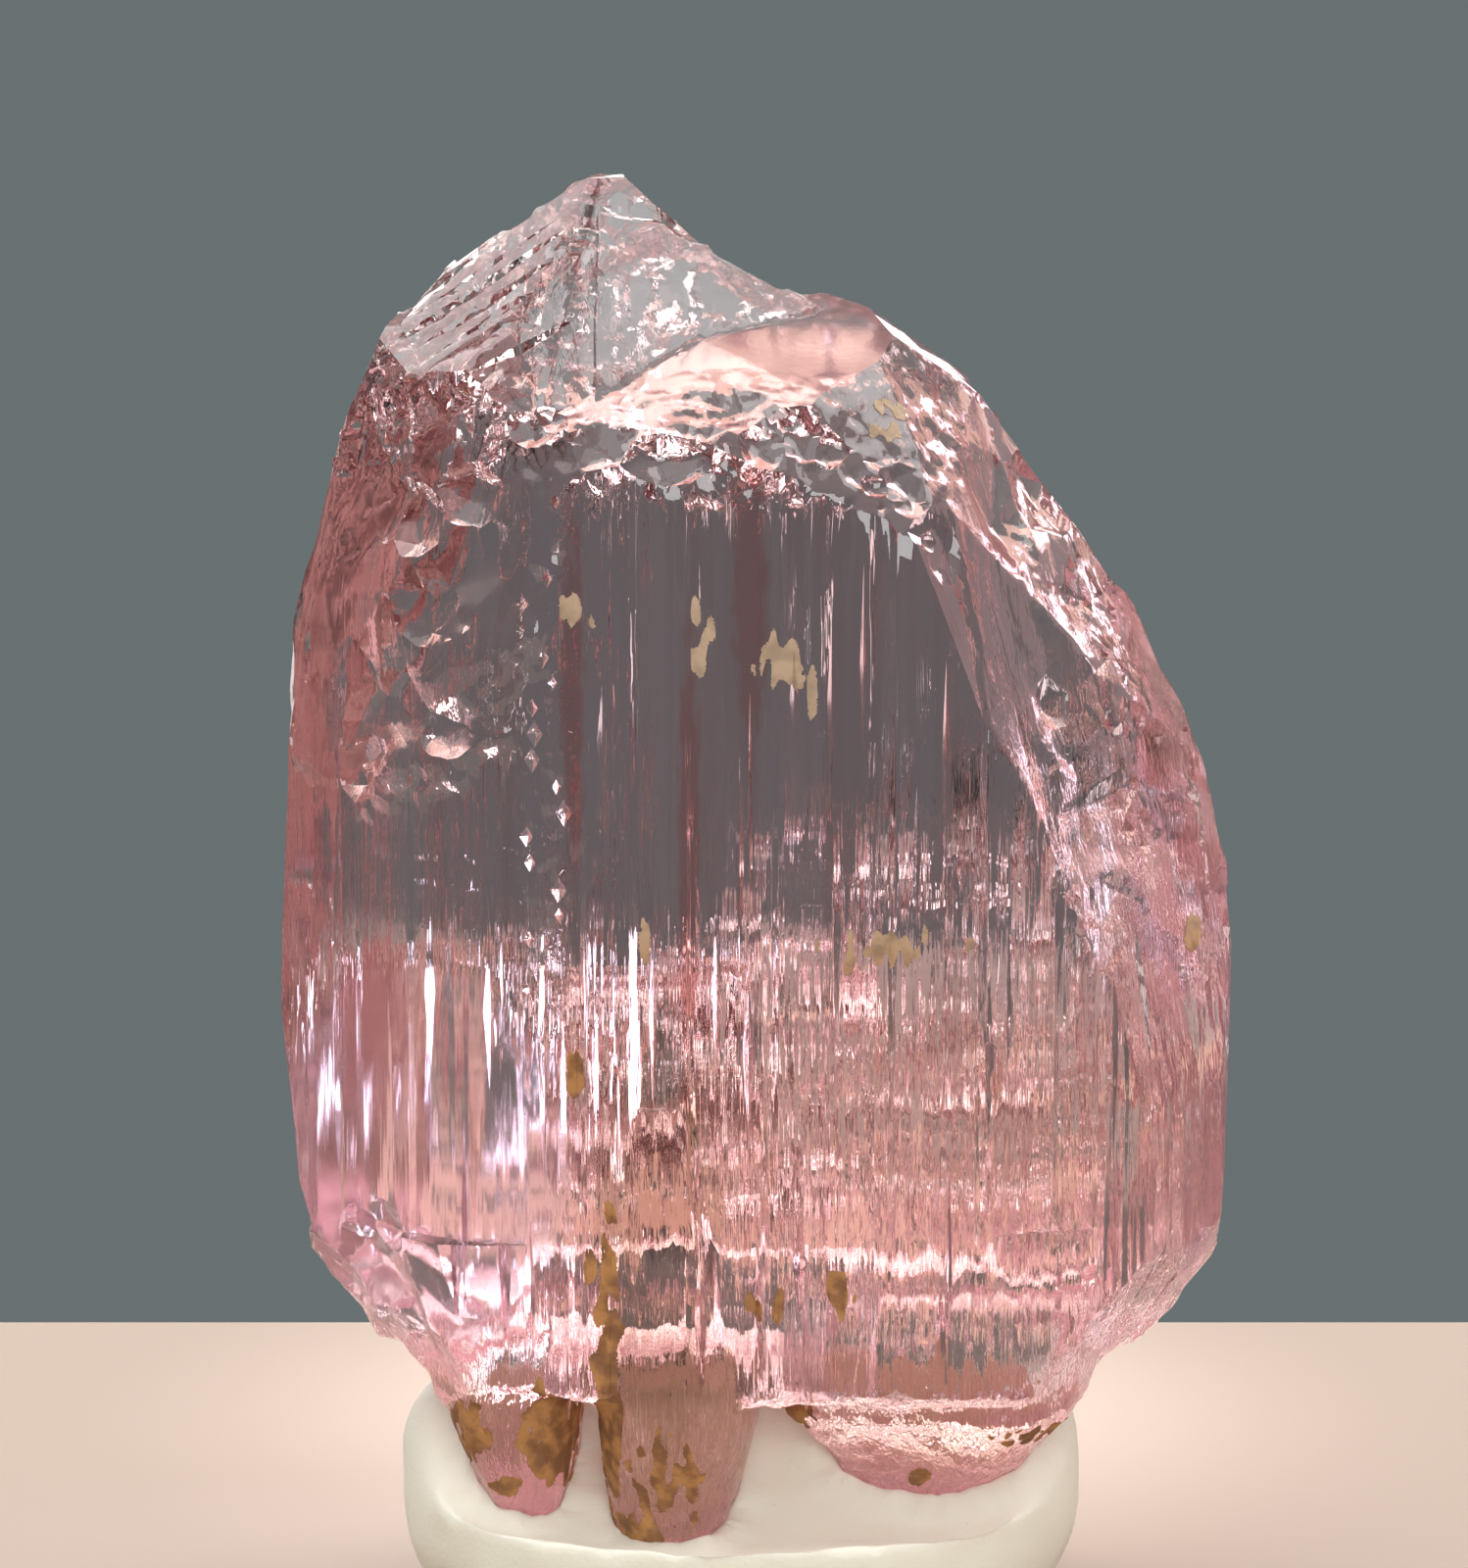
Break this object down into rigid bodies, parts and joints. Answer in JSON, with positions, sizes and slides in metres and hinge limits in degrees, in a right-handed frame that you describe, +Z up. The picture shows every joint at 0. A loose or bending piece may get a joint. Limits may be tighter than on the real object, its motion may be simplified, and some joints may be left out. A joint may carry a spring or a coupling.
{
  "type": "kunzite crystal in mounting putty",
  "caption": "Pale pink kunzite crystal, flattened and striated, with a pyramid top and etched root-like prongs, standing upright in a white lump of mounting putty.",
  "frame": {"origin": "under the middle of the whole piece, on the surface that the putty stands on", "axes": "+Z up along the crystal, -Y towards the viewer of its broad striated front face, +X to that viewer's right"},
  "size_m": [0.0418, 0.026, 0.0637],
  "materials": {
    "kunzite": "clear pale pink with a glassy lustre, striated and etched",
    "putty": "soft white putty, smooth and faintly greasy"
  },
  "bodies": {
    "root": {"crystal": "kunzite", "putty_base": "putty"}
  },
  "joints": []
}
